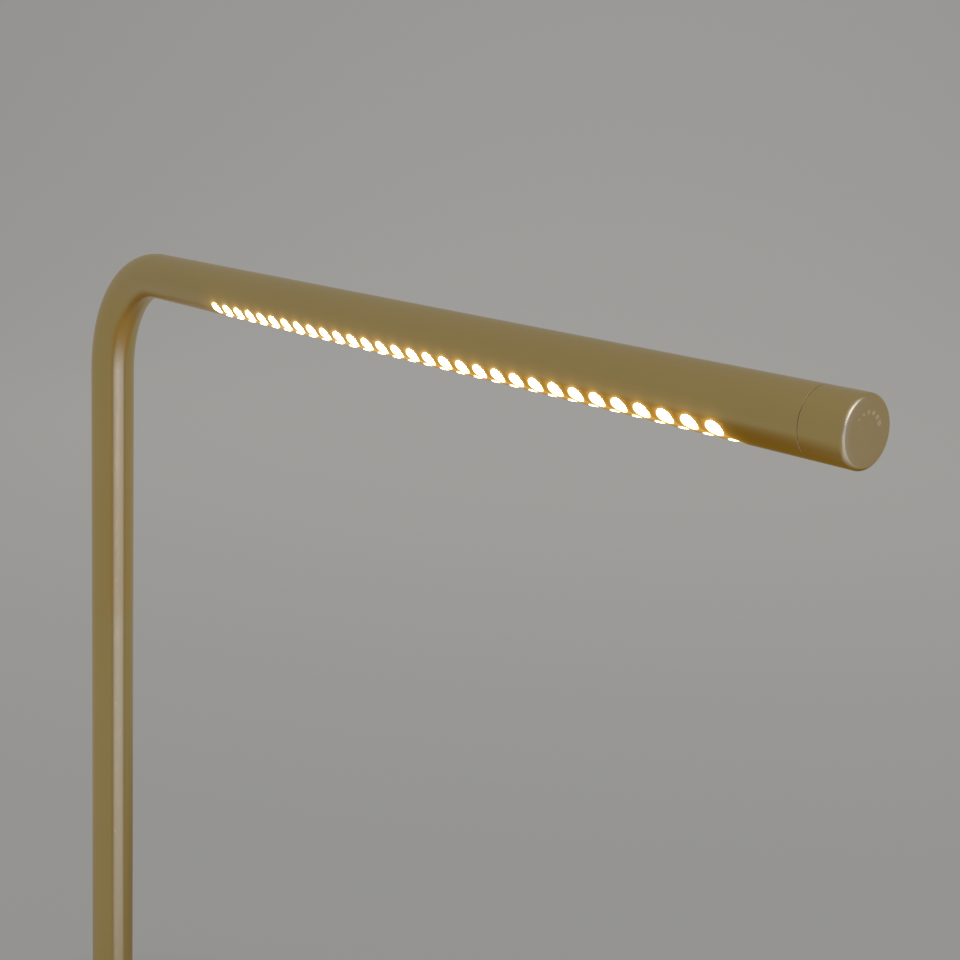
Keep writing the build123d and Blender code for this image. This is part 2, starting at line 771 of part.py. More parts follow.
with BuildPart() as arm_lead:
    lead_tail = in_arm(dimmer_back - free_gap, -arm_lead_offset)
    with BuildLine() as arm_route:
        FilletPolyline(
            (0, 0, lead_end + lead_joint_gap),
            (0, 0, arm_height),
            (bend_end + arm_lead_straight, 0, arm_height),
            in_arm(bar_start - led_lead_step, -arm_lead_offset),
            lead_tail,
            radius=[bend_radius, arm_lead_easing, arm_lead_easing],
        )
    with BuildSketch(Plane.XY.offset(lead_end + lead_joint_gap)):
        Circle(arm_lead_diameter / 2)
    sweep()
arm_lead.part.label = "arm_lead"
export_step(arm_lead.part, "parts/arm_lead.step")

with BuildPart() as led_lead:
    lead_pitch = (arm_lead_diameter + led_lead_diameter) / 2 + lead_gap
    over_board = bar_seat + board_thickness + led_lead_diameter / 2 + lead_gap
    with BuildLine() as led_route:
        FilletPolyline(
            in_arm(bar_start - led_lead_step - led_lead_run, lead_pitch),
            in_arm(bar_start - led_lead_step, lead_pitch),
            in_arm(bar_start, over_board),
            in_arm(bar_start + led_lead_over_board, over_board),
            radius=led_lead_bend,
        )
    with BuildSketch(Plane(origin=led_route.line @ 0, z_dir=led_route.line % 0)):
        Circle(led_lead_diameter / 2)
    sweep()
led_lead.part.label = "led_lead"
export_step(led_lead.part, "parts/led_lead.step")


# ---- dimmer ----

with BuildPart() as end_plug:
    with BuildSketch(across_arm(bar_end)):
        Circle(plug_radius)
    extrude(amount=plug_length)
    with BuildSketch(across_arm(bar_end)):
        Circle(plug_cavity)
    extrude(amount=plug_length - plug_front_wall, mode=Mode.SUBTRACT)
    with BuildSketch(across_arm(bar_end)):
        Circle(bushing_diameter / 2 + slip_gap)
    extrude(amount=plug_length, mode=Mode.SUBTRACT)
    with BuildSketch(screw_plane):
        Circle(plug_screw_diameter / 2)
    extrude(amount=tube_diameter, mode=Mode.SUBTRACT)
end_plug.part.label = "end_plug"
export_step(end_plug.part, "parts/end_plug.step")

with BuildPart() as plug_screw:
    with BuildSketch(screw_plane.offset(plug_cavity)):
        Circle(plug_screw_diameter / 2)
    extrude(amount=tube_radius - slip_gap - plug_cavity)
    with BuildSketch(screw_plane.offset(tube_bore)):
        RegularPolygon(plug_screw_key / 2, 6, major_radius=False)
    extrude(amount=tube_wall, mode=Mode.SUBTRACT)
plug_screw.part.label = "plug_screw"
export_step(plug_screw.part, "parts/plug_screw.step")

with BuildPart() as dimmer_body:
    with BuildSketch(across_arm(dimmer_back)):
        Circle(dimmer_diameter / 2)
    extrude(amount=dimmer_length)
    with BuildSketch(across_arm(plug_wall_back)):
        Circle(bushing_diameter / 2)
    extrude(amount=bushing_length)
    with BuildSketch(across_arm(shaft_start - free_gap)):
        Circle(shaft_diameter / 2 + running_gap)
    extrude(amount=bushing_end - shaft_start + free_gap, mode=Mode.SUBTRACT)
dimmer_body.part.label = "dimmer_body"
export_step(dimmer_body.part, "parts/dimmer_body.step")

with BuildPart() as dimmer_nut:
    with BuildSketch(upright_across_arm(tube_end)):
        RegularPolygon(dimmer_nut_flats / 2, 6, major_radius=False)
        Circle(bushing_diameter / 2 + running_gap, mode=Mode.SUBTRACT)
    extrude(amount=dimmer_nut_thickness)
dimmer_nut.part.label = "dimmer_nut"
export_step(dimmer_nut.part, "parts/dimmer_nut.step")

with BuildPart() as dimmer_shaft:
    with BuildSketch(upright_across_arm(shaft_start)):
        Circle(shaft_diameter / 2)
    extrude(amount=shaft_end - shaft_start)
    with BuildSketch(upright_across_arm(recess_floor)):
        with Locations((0, shaft_flat)):
            Rectangle(shaft_diameter, shaft_diameter, align=(Align.CENTER, Align.MIN))
    extrude(amount=shaft_end - recess_floor, mode=Mode.SUBTRACT)
dimmer_shaft.part.label = "dimmer_shaft"
export_step(dimmer_shaft.part, "parts/dimmer_shaft.step")

with BuildPart() as knob_clip:
    with BuildSketch(upright_across_arm(recess_floor + free_gap)):
        with Locations((0, shaft_flat + running_gap)):
            Rectangle(clip_plate_width, clip_plate_thickness, align=(Align.CENTER, Align.MIN))
    extrude(amount=shaft_end - recess_floor - free_gap)
knob_clip.part.label = "knob_clip"
export_step(knob_clip.part, "parts/knob_clip.step")

with BuildPart() as dimmer_knob:
    with BuildSketch(upright_across_arm(knob_back)):
        Circle(tube_radius)
    extrude(amount=knob_length)
    fillet(dimmer_knob.edges().group_by(Axis.X)[-1], radius=knob_edge_radius)
    chamfer(dimmer_knob.edges().group_by(Axis.X)[0], length=knob_edge_break)
    with BuildSketch(upright_across_arm(knob_back)):
        Circle(knob_recess_diameter / 2)
    extrude(amount=knob_recess_depth, mode=Mode.SUBTRACT)
    with BuildSketch(upright_across_arm(recess_floor)):
        Circle(shaft_diameter / 2 + running_gap)
        flat_height = shaft_flat + clip_plate_thickness + 2 * running_gap
        with Locations((0, flat_height)):
            Rectangle(past_tube, past_tube, align=(Align.CENTER, Align.MIN), mode=Mode.SUBTRACT)
    extrude(amount=knob_bore_depth, mode=Mode.SUBTRACT)
    # growing dimples, from dim to bright
    with BuildSketch(upright_across_arm(arm_reach)):
        for k in range(mark_count):
            turn = radians(90 - (k - (mark_count - 1) / 2) * mark_spread)
            with Locations((mark_radius * cos(turn), mark_radius * sin(turn))):
                Circle(mark_smallest + k * mark_step)
    extrude(amount=-mark_depth, mode=Mode.SUBTRACT)
dimmer_knob.part.label = "dimmer_knob"
export_step(dimmer_knob.part, "parts/dimmer_knob.step")
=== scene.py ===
import bmesh
import bpy
import json
from math import atan2, cos, degrees, exp, hypot, pi, radians, sin
from mathutils import Matrix, Vector


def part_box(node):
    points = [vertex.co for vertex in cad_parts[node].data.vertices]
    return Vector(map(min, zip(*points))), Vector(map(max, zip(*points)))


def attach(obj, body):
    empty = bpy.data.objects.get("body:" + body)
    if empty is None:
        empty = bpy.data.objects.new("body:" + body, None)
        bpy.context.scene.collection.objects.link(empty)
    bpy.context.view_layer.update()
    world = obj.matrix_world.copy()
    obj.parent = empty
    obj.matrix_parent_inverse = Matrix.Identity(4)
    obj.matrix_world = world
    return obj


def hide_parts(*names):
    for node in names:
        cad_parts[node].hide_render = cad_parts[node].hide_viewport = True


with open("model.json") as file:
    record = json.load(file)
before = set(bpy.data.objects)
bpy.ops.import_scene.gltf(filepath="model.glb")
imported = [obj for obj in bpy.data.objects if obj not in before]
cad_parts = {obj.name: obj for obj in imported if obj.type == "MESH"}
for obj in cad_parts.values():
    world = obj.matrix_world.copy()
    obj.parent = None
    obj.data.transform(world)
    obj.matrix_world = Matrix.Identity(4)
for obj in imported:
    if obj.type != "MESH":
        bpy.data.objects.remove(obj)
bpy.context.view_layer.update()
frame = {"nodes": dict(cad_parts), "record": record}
nodes = frame["nodes"]
scene = bpy.context.scene
print("frame loaded:", len(nodes), "nodes")

# measures that several pieces share, all taken from the frame
tubeLow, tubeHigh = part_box("lamp_tube")
tubeRadius = (tubeHigh.y - tubeLow.y) / 2
armHeight = tubeHigh.z - tubeRadius
hair = 1e-6  # points closer than this are one point


# nodes of a material

def newMaterial(name):
    material = bpy.data.materials.new(name)
    material.use_nodes = True
    tree = material.node_tree
    return material, tree, tree.nodes["Principled BSDF"]


def fill(tree, node, values):
    for key, value in values.items():
        if isinstance(value, bpy.types.NodeSocket):
            tree.links.new(value, node.inputs[key])
        else:
            node.inputs[key].default_value = value


def put(tree, kind, values, **settings):
    node = tree.nodes.new("ShaderNode" + kind)
    for key, value in settings.items():
        setattr(node, key, value)
    fill(tree, node, values)
    return node


def objectCoordinates(tree):
    return put(tree, "TexCoord", {}).outputs["Object"]


def noise(tree, vector, scale, detail=3.0, roughness=0.5):
    values = {"Vector": vector, "Scale": scale, "Detail": detail, "Roughness": roughness}
    return put(tree, "TexNoise", values).outputs["Fac"]


def spread(tree, value, low, high, start=0.0, end=1.0, shape="LINEAR"):
    values = {"Value": value, "From Min": start, "From Max": end, "To Min": low, "To Max": high}
    return put(tree, "MapRange", values, interpolation_type=shape).outputs["Result"]


def ease(tree, value, start, end, low=0.0, high=1.0):
    return spread(tree, value, low, high, start, end, "SMOOTHSTEP")


def calc(tree, operation, first, second=0.0, **settings):
    return put(tree, "Math", {0: first, 1: second}, operation=operation, **settings).outputs[0]


def vectorCalc(tree, operation, first, second=(0, 0, 0)):
    outputs = put(tree, "VectorMath", {0: first, 1: second}, operation=operation).outputs
    return outputs["Value" if operation in ("LENGTH", "DISTANCE") else "Vector"]


def scaled(tree, vector, amount):
    return put(tree, "VectorMath", {0: vector, "Scale": amount}, operation="SCALE").outputs[0]


def mixColor(tree, factor, first, second):
    return put(tree, "Mix", {0: factor, 6: first, 7: second}, data_type="RGBA").outputs[2]


def bump(tree, height, depth):
    return put(tree, "Bump", {"Height": height, "Distance": depth}).outputs["Normal"]


def showMix(tree, share, first, second, output="Material Output"):
    both = put(tree, "MixShader", {0: share, 1: first, 2: second}).outputs[0]
    tree.links.new(both, tree.nodes[output].inputs["Surface"])


# turned shapes and finished pieces

def quarter(x, y, radius, start, steps):
    # points of a quarter circle about x and y, from the start angle on
    turns = [radians(start + 90 * k / steps) for k in range(steps + 1)]
    return [(x + radius * cos(turn), y + radius * sin(turn)) for turn in turns]


def spinProfile(bm, points, cent, axis, steps):
    verts = [bm.verts.new(point) for point in points]
    edges = [bm.edges.new(pair) for pair in zip(verts, verts[1:])]
    bmesh.ops.spin(bm, geom=verts + edges, cent=cent, axis=axis, angle=2 * pi, steps=steps, use_merge=True)


def finishPiece(name, bm, material, body, stands, sharp=30):
    bmesh.ops.remove_doubles(bm, verts=bm.verts, dist=hair)
    bmesh.ops.recalc_face_normals(bm, faces=bm.faces)
    mesh = bpy.data.meshes.new(name)
    bm.to_mesh(mesh)
    bm.free()
    mesh.polygons.foreach_set("use_smooth", [True] * len(mesh.polygons))
    mesh.set_sharp_from_angle(angle=radians(sharp))
    mesh.materials.append(material)
    piece = bpy.data.objects.new(name, mesh)
    scene.collection.objects.link(piece)
    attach(piece, body)
    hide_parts(*stands)
    print(name, "made:", len(mesh.polygons), "faces")
    return piece


# brass

brass = {
    "bright": (0.745, 0.56, 0.22, 1),
    "deep": (0.695, 0.51, 0.19, 1),
    "patches": 9.0,  # scale at which the two tones change
    "brushed": (0.27, 0.32),  # roughness of the tube and of the knob's side
    "smooth": (0.23, 0.28),  # roughness of the knob's face and of the base
    "etched": (0.48, 0.55),  # roughness of the knob's marks
    "anisotropy": 0.85,
    "coat": 0.22,
    "coatRoughness": 0.15,
    "tubeLines": (3200, 160, 160),  # scale along the tube and across it
    "turnedLines": 3000.0,
    "lineBreaks": 90.0,
    "lineDepth": 0.000002,
}
# the light that runs from the holes over the tube, as the tube's "spill" attribute gives it
lightSpill = {"faint": (1.0, 0.5, 0.07, 1), "full": (1.0, 0.82, 0.5, 1), "strength": 3.0}


def makeBrass(name, roughness, pattern, brushMap=None, glow=None):
    material, tree, shader = newMaterial(name)
    lines = noise(tree, pattern(tree), 1.0, detail=4.0, roughness=0.6)
    patches = noise(tree, objectCoordinates(tree), brass["patches"], detail=2.0)
    fill(tree, shader, {
        "Metallic": 1.0,
        "Base Color": mixColor(tree, spread(tree, patches, 0.0, 1.0), brass["deep"], brass["bright"]),
        "Roughness": spread(tree, lines, *roughness),
        "Coat Weight": brass["coat"],
        "Coat Roughness": brass["coatRoughness"],
        "Normal": bump(tree, lines, brass["lineDepth"]),
    })
    if brushMap:
        tangent = put(tree, "Tangent", {}, direction_type="UV_MAP", uv_map=brushMap).outputs[0]
        fill(tree, shader, {"Anisotropic": brass["anisotropy"], "Tangent": tangent})
    if glow:
        spill = put(tree, "Attribute", {}, attribute_name="spill").outputs["Fac"]
        heat = spread(tree, spill, 0.0, 1.0, end=glow["strength"])
        fill(tree, shader, {
            "Emission Color": mixColor(tree, heat, glow["faint"], glow["full"]),
            "Emission Strength": spill,
        })
    return material


def tubeLines(tree):
    straight = put(tree, "Attribute", {}, attribute_name="straight").outputs["Vector"]
    return put(tree, "Mapping", {"Vector": straight, "Scale": brass["tubeLines"]}).outputs[0]


def turnedLines(centre, axis):
    def lines(tree):
        offset = vectorCalc(tree, "SUBTRACT", objectCoordinates(tree), centre)
        parts = put(tree, "SeparateXYZ", {0: offset}).outputs
        across = [parts[k] for k in range(3) if k != axis]
        radius = vectorCalc(tree, "LENGTH", put(tree, "CombineXYZ", dict(enumerate(across))).outputs[0])
        rings = put(tree, "CombineXYZ", {0: radius, 1: parts[axis]}).outputs[0]
        fine = scaled(tree, rings, brass["turnedLines"])
        return vectorCalc(tree, "ADD", fine, scaled(tree, offset, brass["lineBreaks"]))
    return lines


aboutPost, aboutArm = turnedLines((0, 0, 0), 2), turnedLines((0, 0, armHeight), 0)
tubeBrass = makeBrass("tubeBrass", brass["brushed"], tubeLines, "UVMap", lightSpill)
turnedBrass = makeBrass("turnedBrass", brass["smooth"], aboutPost)
knobBrass = makeBrass("knobBrass", brass["brushed"], aboutArm, "UVMap")
faceBrass = makeBrass("faceBrass", brass["smooth"], aboutArm)
etchedBrass = makeBrass("etchedBrass", brass["etched"], aboutArm)


# plain finishes

# two colours that a noise mixes, roughness from and to, scale of the grain and its depth in metres
grains = {
    "castIron": {"colors": ((0.035, 0.035, 0.038), (0.075, 0.073, 0.074)), "roughness": (0.55, 0.8),
                 "metallic": 0.7, "scale": (900, 900, 900), "depth": 0.00012},
    "zincSteel": {"colors": ((0.5, 0.52, 0.55), (0.66, 0.67, 0.68)), "roughness": (0.24, 0.42),
                  "metallic": 1.0, "scale": (420, 420, 420), "depth": 0.00001},
    "foamRubber": {"colors": ((0.011, 0.011, 0.012), (0.028, 0.027, 0.027)), "roughness": (0.85, 0.97),
                   "metallic": 0.0, "scale": (2600, 2600, 2600), "depth": 0.00012},
    "sinteredBronze": {"colors": ((0.36, 0.2, 0.085), (0.52, 0.31, 0.14)), "roughness": (0.35, 0.6),
                       "metallic": 1.0, "scale": (3500, 3500, 3500), "depth": 0.00003},
    "nylon": {"colors": ((0.66, 0.64, 0.57), (0.75, 0.73, 0.67)), "roughness": (0.42, 0.55),
              "metallic": 0.0, "scale": (800, 800, 800), "depth": 0.00001},
    "drawnAluminium": {"colors": ((0.68, 0.69, 0.71), (0.8, 0.81, 0.82)), "roughness": (0.28, 0.4),
                       "metallic": 1.0, "scale": (40, 3000, 3000), "depth": 0.00001},
    "solderMask": {"colors": ((0.74, 0.75, 0.73), (0.8, 0.81, 0.79)), "roughness": (0.3, 0.42),
                   "metallic": 0.0, "scale": (1400, 1400, 1400), "depth": 0.000006},
    "blackPlastic": {"colors": ((0.012, 0.012, 0.013), (0.022, 0.022, 0.023)), "roughness": (0.4, 0.55),
                     "metallic": 0.0, "scale": (5200, 5200, 5200), "depth": 0.00002},
    "siliconeSleeve": {"colors": ((0.02, 0.02, 0.021), (0.034, 0.033, 0.033)), "roughness": (0.55, 0.68),
                       "metallic": 0.0, "scale": (1800, 1800, 1800), "depth": 0.00001},
}


def makeGrain(name):
    look = grains[name]
    material, tree, shader = newMaterial(name)
    place = put(tree, "Mapping", {"Vector": objectCoordinates(tree), "Scale": look["scale"]}).outputs[0]
    grain = noise(tree, place, 1.0, detail=4.0, roughness=0.55)
    wide = noise(tree, place, 0.08, detail=2.0)
    dark, light = [(*color, 1) for color in look["colors"]]
    fill(tree, shader, {
        "Metallic": look["metallic"],
        "Base Color": mixColor(tree, spread(tree, wide, -0.2, 1.2), dark, light),
        "Roughness": spread(tree, grain, *look["roughness"]),
        "Normal": bump(tree, grain, look["depth"]),
    })
    return material


glowing = {
    "phosphor": {"colors": ((1.0, 0.66, 0.2, 1), (1.0, 0.8, 0.36, 1)), "strength": (5.0, 7.0),
                 "roughness": (0.3, 0.5), "scale": 1800},
    "opal": {"colors": ((1.0, 0.83, 0.52, 1), (1.0, 0.88, 0.62, 1)), "strength": (26.0, 32.0),
             "roughness": (0.3, 0.5), "scale": 90},
}


def makeGlowing(name):
    look = glowing[name]
    material, tree, shader = newMaterial(name)
    cloud = noise(tree, objectCoordinates(tree), look["scale"], detail=2.0)
    tone = mixColor(tree, cloud, *look["colors"])
    fill(tree, shader, {
        "Base Color": tone,
        "Roughness": spread(tree, cloud, *look["roughness"]),
        "Emission Color": tone,
        "Emission Strength": spread(tree, cloud, *look["strength"]),
    })
    return material


finishes = {
    "satin_brass": turnedBrass,
    "cast_iron": makeGrain("castIron"),
    "zinc_steel": makeGrain("zincSteel"),
    "soft_pad": makeGrain("foamRubber"),
    "bearing_bronze": makeGrain("sinteredBronze"),
    "nylon": makeGrain("nylon"),
    "bar_aluminium": makeGrain("drawnAluminium"),
    "circuit_board": makeGrain("solderMask"),
    "black_plastic": makeGrain("blackPlastic"),
    "lead_sleeve": makeGrain("siliconeSleeve"),
    "led_chip": makeGlowing("phosphor"),
    "opal_diffuser": makeGlowing("opal"),
}
for part in frame["record"]["subparts"]:
    mesh = nodes[part["node"]].data
    mesh.materials.clear()
    mesh.materials.append(finishes[part["material_slot"]])
print("materials done")


# flat sheets with round holes, wrapped round the tube or laid on the knob later

punch = {"long": 8, "high": 6}  # steps of the rectangle round one hole


def layOn(x0, x1, y0, y1):
    return Matrix.Translation(((x0 + x1) / 2, (y0 + y1) / 2, 0)) @ Matrix.Diagonal((x1 - x0, y1 - y0, 1, 1))


def addPlain(bm, x0, x1, y0, y1, xSteps, ySteps):
    bmesh.ops.create_grid(bm, x_segments=xSteps, y_segments=ySteps, size=0.5, matrix=layOn(x0, x1, y0, y1))


def edgesOf(verts):
    return list({edge for vert in verts for edge in vert.link_edges})


def addPunched(bm, x0, x1, y0, y1, hole, unit, rings, closed=False):
    # a rectangle with a round hole and rings round it; unit is the length of one flat step in x and in y
    sheet = bmesh.ops.create_grid(bm, x_segments=punch["long"], y_segments=punch["high"], size=0.5,
                                  matrix=layOn(x0, x1, y0, y1))["verts"]
    outline = [vert for vert in sheet if vert.is_boundary]
    bmesh.ops.delete(bm, geom=[vert for vert in sheet if not vert.is_boundary], context="VERTS")
    loops = [edgesOf(outline)]
    for wide, high in [*rings, (0, 0)]:
        size = Matrix.Diagonal(((hole + wide) / unit[0], (hole + high) / unit[1], 1, 1))
        place = Matrix.Translation(((x0 + x1) / 2, (y0 + y1) / 2, 0)) @ size
        ring = bmesh.ops.create_circle(bm, segments=2 * (punch["long"] + punch["high"]), radius=1,
                                       cap_ends=closed and not wide, matrix=place)["verts"]
        loops.append(edgesOf(ring))
    for outer, inner in zip(loops, loops[1:]):
        bmesh.ops.bridge_loops(bm, edges=outer + inner)
    return ring


# lamp tube

lampTube = {
    "wall": 0.0015,
    "bendRadius": 0.055,
    "bendSteps": 30,
    "plainSteps": (6, 4),  # steps of the arm before its holes, and on each side of the screw
    "postRings": (0.3, 0.15),  # heights at which the post is divided
    "footRing": 0.01,  # the last division, above the foot
    "holeRadius": 0.0031,
    "rings": ((0.0007, 0.0002), (0.0001, 0.0001)),
    "holePitch": 0.01,
    "firstHole": 0.128,
    "holeCount": 31,
    "screwRadius": 0.00155,
    "screwFromEnd": 0.009,
    "screwPatch": 0.0045,  # half the length of the sheet round the screw
    "endRound": 0.00025,  # lip at the knob
    "holeRound": 0.4,  # share of it that the other lips have
    "rimSpill": 5.0,  # glow of the hole's own wall
    "spill": (0.34, 0.0017),  # glow beside the rim, and the distance over which it falls to a third
    "fringe": (1.1, 0.00025),
    "underside": (22, 38, 0.2),  # the glow fades to this share from the second angle down to the first
}
# steps around the tube, and their angle from straight down towards -Y
aroundTube = ((0, -2), (6, 33), (12, 68), (47, 270), (62, 358))
allSteps = aroundTube[-1][0]
holeRows = ((6, 0.0), (0, lampTube["holePitch"] / 2))  # first step, and the shift along the arm
screwStep = 44


def turnAt(step):
    for (low, lowTurn), (high, highTurn) in zip(aroundTube, aroundTube[1:]):
        if step <= high:
            return radians(lowTurn + (highTurn - lowTurn) * (step - low) / (high - low))


def straightened(co):
    # distance along the tube from its foot, and angle around it
    bend = lampTube["bendRadius"]
    post = armHeight - bend - tubeLow.z
    if co.x > bend:
        return post + bend * pi / 2 + co.x - bend, atan2(-co.y, armHeight - co.z)
    if co.z > armHeight - bend:
        sideways, upwards = bend - co.x, co.z - armHeight + bend
        return post + bend * atan2(upwards, sideways), atan2(-co.y, bend - hypot(sideways, upwards))
    return co.z - tubeLow.z, atan2(-co.y, co.x)


def rimGaps(co):
    # distances over the surface to the rims of the nearest hole of each row and of its neighbours
    pitch, gaps = lampTube["holePitch"], []
    turn = atan2(-co.y, armHeight - co.z)
    for step, shift in holeRows:
        nearest = round((co.x - lampTube["firstHole"] - shift) / pitch)
        for number in (nearest - 1, nearest, nearest + 1):
            if 0 <= number < lampTube["holeCount"]:
                middle = lampTube["firstHole"] + shift + number * pitch
                off = hypot(co.x - middle, tubeRadius * (turn - turnAt(step + punch["high"] / 2)))
                gaps.append(max(off - lampTube["holeRadius"], 0.0))
    return gaps


def spillAt(co):
    gaps = rimGaps(co) if co.x > lampTube["bendRadius"] else []
    if not gaps:
        return 0.0
    if min(gaps) < lampTube["rings"][-1][0] / 2:
        return lampTube["rimSpill"]
    (strength, reach), (edgeStrength, edgeReach) = lampTube["spill"], lampTube["fringe"]
    low, high, share = lampTube["underside"]
    rise = (degrees(atan2(-co.y, armHeight - co.z)) - low) / (high - low)
    strength *= share + (1 - share) * min(max(rise, 0.0), 1.0)
    return strength * sum(exp(-gap / reach) for gap in gaps) + edgeStrength * exp(-min(gaps) / edgeReach)


def layArm(bm):
    # the skin of the arm laid flat: x runs along the arm and y counts the steps around it
    pitch, long, high = lampTube["holePitch"], punch["long"], punch["high"]
    beforeHoles, besideScrew = lampTube["plainSteps"]
    unit = (1.0, tubeRadius * radians(aroundTube[1][1] - aroundTube[0][1]) / high)
    start = lampTube["firstHole"] - pitch / 2
    end = start + lampTube["holeCount"] * pitch + pitch / 2
    addPlain(bm, lampTube["bendRadius"], start, 0, allSteps, beforeHoles, allSteps)
    for step, shift in holeRows:
        for k in range(lampTube["holeCount"]):
            x = start + shift + k * pitch
            addPunched(bm, x, x + pitch, step, step + high, lampTube["holeRadius"], unit, lampTube["rings"])
        loose = (start, start + shift) if shift else (end - pitch / 2, end)
        addPlain(bm, *loose, step, step + high, long // 2, high)
    bare = 2 * high
    addPlain(bm, start, end, bare, allSteps, round((end - start) / pitch * long), allSteps - bare)
    middle = tubeHigh.x - lampTube["screwFromEnd"]
    before, after = middle - lampTube["screwPatch"], middle + lampTube["screwPatch"]
    beyond = screwStep + high
    addPlain(bm, end, before, 0, allSteps, besideScrew, allSteps)
    addPlain(bm, before, after, 0, screwStep, long, screwStep)
    addPunched(bm, before, after, screwStep, beyond, lampTube["screwRadius"], unit, lampTube["rings"])
    addPlain(bm, before, after, beyond, allSteps, long, allSteps - beyond)
    addPlain(bm, after, tubeHigh.x, 0, allSteps, besideScrew, allSteps)


def wrapArm(bm):
    for vert in bm.verts:
        turn = turnAt(vert.co.y)
        vert.co = (vert.co.x, -tubeRadius * sin(turn), armHeight - tubeRadius * cos(turn))
    bmesh.ops.remove_doubles(bm, verts=bm.verts, dist=hair)


def addBendAndPost(bm):
    # the bend is spun from the end of the arm, and the post is drawn down from it
    bend = lampTube["bendRadius"]
    rim = [edge for edge in bm.edges if edge.is_boundary and max(v.co.x for v in edge.verts) < bend + hair]
    swept = bmesh.ops.spin(bm, geom=rim, cent=(bend, 0, armHeight - bend), axis=(0, 1, 0), angle=-pi / 2,
                           steps=lampTube["bendSteps"])["geom_last"]
    rim = [item for item in swept if isinstance(item, bmesh.types.BMEdge)]
    for height in (*lampTube["postRings"], tubeLow.z + lampTube["footRing"], tubeLow.z):
        grown = bmesh.ops.extrude_edge_only(bm, edges=rim)["geom"]
        for vert in [item for item in grown if isinstance(item, bmesh.types.BMVert)]:
            vert.co.z = height
        rim = [item for item in grown if isinstance(item, bmesh.types.BMEdge)]


def weighLips(bm):
    weight = bm.edges.layers.float.new("bevel_weight_edge")
    for edge in bm.edges:
        if edge.is_boundary:
            atEnd = min(vert.co.x for vert in edge.verts) > tubeHigh.x - hair
            edge[weight] = 1.0 if atEnd else lampTube["holeRound"]


def unwound(turn, first):
    # distance around the tube, on the same side of the seam as the face's first corner
    return tubeRadius * (turn + 2 * pi * round((first - turn) / (2 * pi)))


def mapTube(mesh):
    # the skin's flat coordinates for the brush lines, and the glow of every point
    flat = [straightened(vert.co) for vert in mesh.vertices]
    lines = []
    for along, turn in flat:
        lines += (along, tubeRadius * sin(turn), tubeRadius * cos(turn))
    mesh.attributes.new("straight", "FLOAT_VECTOR", "POINT").data.foreach_set("vector", lines)
    glow = [spillAt(vert.co) for vert in mesh.vertices]
    mesh.attributes.new("spill", "FLOAT", "POINT").data.foreach_set("value", glow)
    mapped = []
    for face in mesh.polygons:
        first = flat[face.vertices[0]][1]
        for corner in face.vertices:
            along, turn = flat[corner]
            mapped += (along, unwound(turn, first))
    mesh.uv_layers.new(name="UVMap").data.foreach_set("uv", mapped)


def makeLampTube():
    bm = bmesh.new()
    layArm(bm)
    wrapArm(bm)
    addBendAndPost(bm)
    weighLips(bm)
    piece = finishPiece("lampTube", bm, tubeBrass, "swing_arm", ["lamp_tube"])
    mapTube(piece.data)
    wall = piece.modifiers.new("wall", "SOLIDIFY")
    wall.thickness = lampTube["wall"]
    wall.offset = -1
    wall.use_even_offset = True
    edges = piece.modifiers.new("edges", "BEVEL")
    edges.width = lampTube["endRound"]
    edges.segments = 2
    edges.limit_method = "WEIGHT"
    edges.harden_normals = True


makeLampTube()


# dimmer knob

dimmerKnob = {
    "edgeRadius": 0.0013,
    "edgeSteps": 10,
    "backBreak": 0.0001,
    "lip": (0.0002, 0.0002),  # light trap in the seam: reach towards the tube, and depth below the side
    "recess": (0.0086, 0.0048),  # radius and depth
    "bore": (0.00305, 0.0067),
    "sectors": 16,
    "markBand": (0.0042, 0.007),  # inner and outer radius
    "markCount": 7,
    "smallestMark": 0.0003,
    "markStep": 0.0001,
    "rings": ((0.00015, 0.00015),),
    "markWall": (0.00005, 0.00005),  # width and depth
    "faceDepth": 0.00013,  # faces within this distance of the front have the face's finish
}


def addMarks(bm, front):
    # the band of marks laid flat: x counts the steps round the face and y those away from its middle
    sectors, count, (inner, outer) = dimmerKnob["sectors"], dimmerKnob["markCount"], dimmerKnob["markBand"]
    long, high = punch["long"], punch["high"]
    steps, radial = sectors * long, (outer - inner) / high
    unit = (pi * (inner + outer) / steps, radial)
    marks = []
    for k in range(sectors):
        place = (k * long, (k + 1) * long, 0, high)
        if k < count:
            hole = dimmerKnob["smallestMark"] + k * dimmerKnob["markStep"]
            marks.append(addPunched(bm, *place, hole, unit, dimmerKnob["rings"], closed=True))
        else:
            addPlain(bm, *place, long, high)
    lead = count * long / 2  # centres the marks on the top
    for vert in bm.verts:
        turn = 2 * pi * (vert.co.x - lead) / steps
        radius = inner + radial * vert.co.y
        vert.co = (front, radius * sin(turn), armHeight + radius * cos(turn))
    width, depth = dimmerKnob["markWall"]
    for ring in marks:
        floor = [face for face in ring[0].link_faces if len(face.verts) == len(ring)]
        bmesh.ops.inset_region(bm, faces=floor, thickness=width, depth=0)
        for vert in floor[0].verts:
            vert.co.x -= depth
        floor[0].material_index = 2


